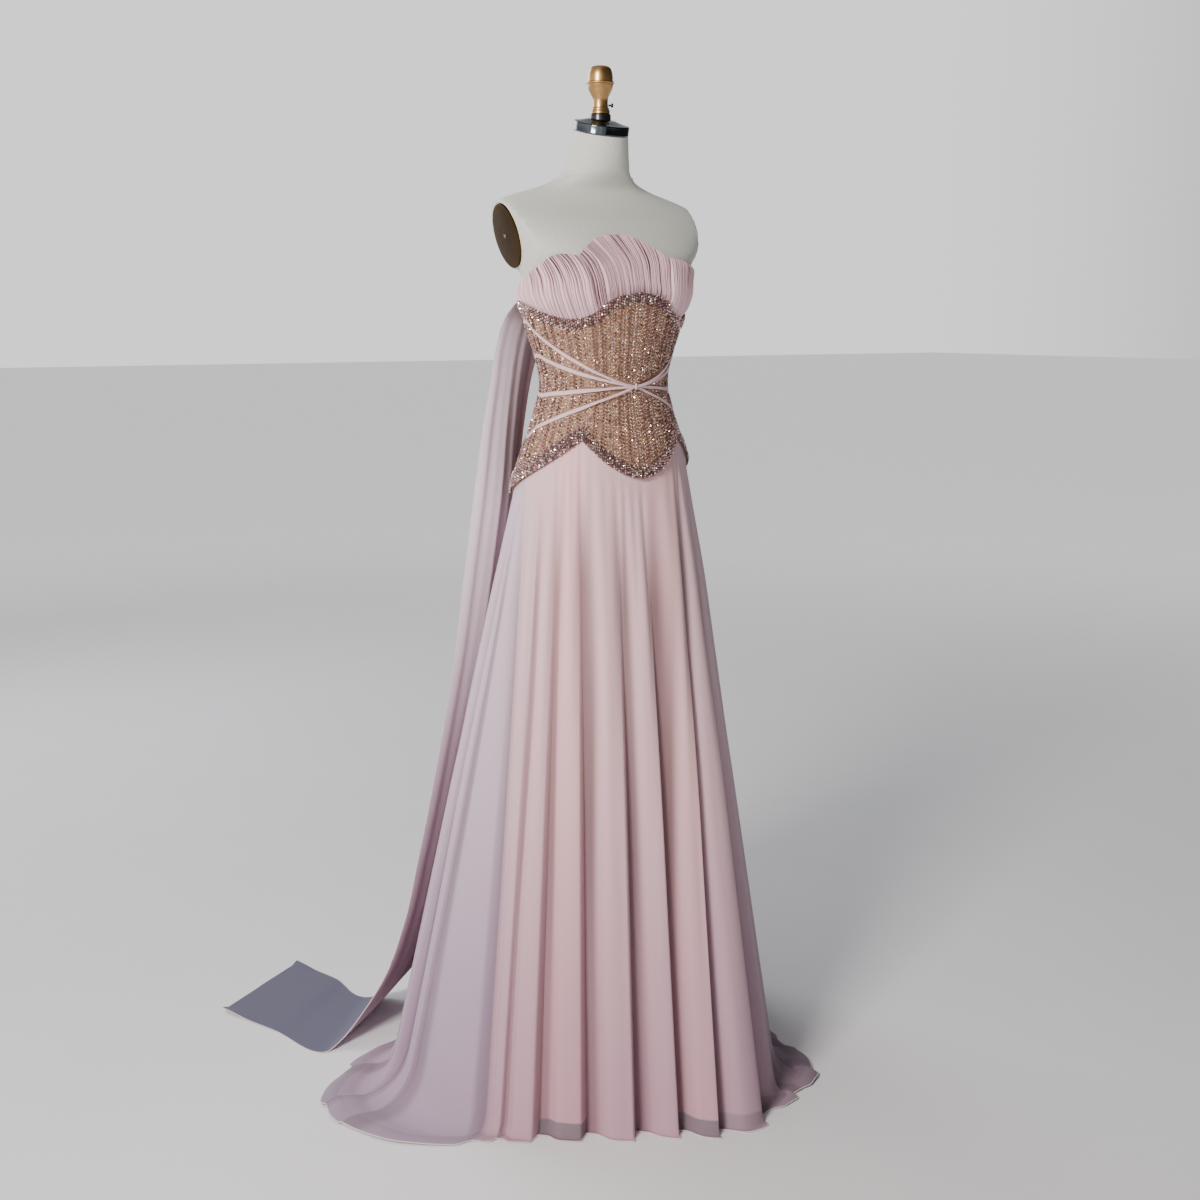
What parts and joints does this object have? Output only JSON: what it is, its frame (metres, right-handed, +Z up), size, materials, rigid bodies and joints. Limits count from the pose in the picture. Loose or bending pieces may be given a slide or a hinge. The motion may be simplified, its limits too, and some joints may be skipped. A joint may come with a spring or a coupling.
{
  "type": "a-line evening gown on dress form",
  "caption": "Strapless a-line evening gown with a pleated scalloped bust, beaded corset, crossed waist straps, folded skirt with train and a long streamer, on a limbless dress form with stand.",
  "frame": {"origin": "centre of the stand base's underside, on the floor", "axes": "+Z up; the gown faces -Y; its wearer's right side is at -X"},
  "size_m": [0.9786, 1.0521, 1.7103],
  "materials": {
    "form_linen": "plain-woven linen cover over padding, matt",
    "cap_chrome": "polished dark chrome plate",
    "black_enamel": "black baked enamel, satin",
    "gilt_wood": "turned wood with rubbed gold paint",
    "aged_bronze": "aged bronze plate, satin",
    "pin_steel": "small round steel pin head",
    "corset_net": "tan net on a stiff lining, closely beaded in columns",
    "trim_beading": "close rows of lustre glass beads with clear crystals, opaque",
    "chiffon": "blush silk chiffon over a lining, soft matt",
    "zip_cloth": "woven zip tape",
    "zip_metal": "small polished brass zip slider and pull tab"
  },
  "bodies": {
    "root": {"form_torso": "form_linen", "neck_cap": "cap_chrome", "finial_socket": "black_enamel", "finial_screw": "black_enamel", "stand_base": "black_enamel", "stand_pole": "black_enamel", "finial": "gilt_wood", "arm_plate_left": "aged_bronze", "arm_plate_right": "aged_bronze", "arm_pin_left": "pin_steel", "arm_pin_right": "pin_steel", "corset_front": "corset_net", "corset_back_left": "corset_net", "corset_back_right": "corset_net", "trim_top": "trim_beading", "trim_bottom": "trim_beading", "bust_shell_centre": "chiffon", "bust_shell_left": "chiffon", "bust_shell_right": "chiffon", "skirt_front": "chiffon", "skirt_back_left": "chiffon", "skirt_back_right": "chiffon", "streamer": "chiffon", "strap_front_1": "chiffon", "strap_front_2": "chiffon", "strap_front_3": "chiffon", "strap_front_4": "chiffon", "strap_back_left_1": "chiffon", "strap_back_left_2": "chiffon", "strap_back_left_3": "chiffon", "strap_back_left_4": "chiffon", "strap_back_right_1": "chiffon", "strap_back_right_2": "chiffon", "strap_back_right_3": "chiffon", "strap_back_right_4": "chiffon", "zip_tape": "zip_cloth", "zip_slider": "zip_metal"},
    "zip_pull": {"zip_pull": "zip_metal"}
  },
  "joints": [
    {"name": "zip_pull_hinge", "type": "hinge", "parent": "root", "child": "zip_pull", "pos_m": [0, 0.10952, 1.3], "axis": [1, 0, 0], "range_deg": [0, 150]}
  ]
}
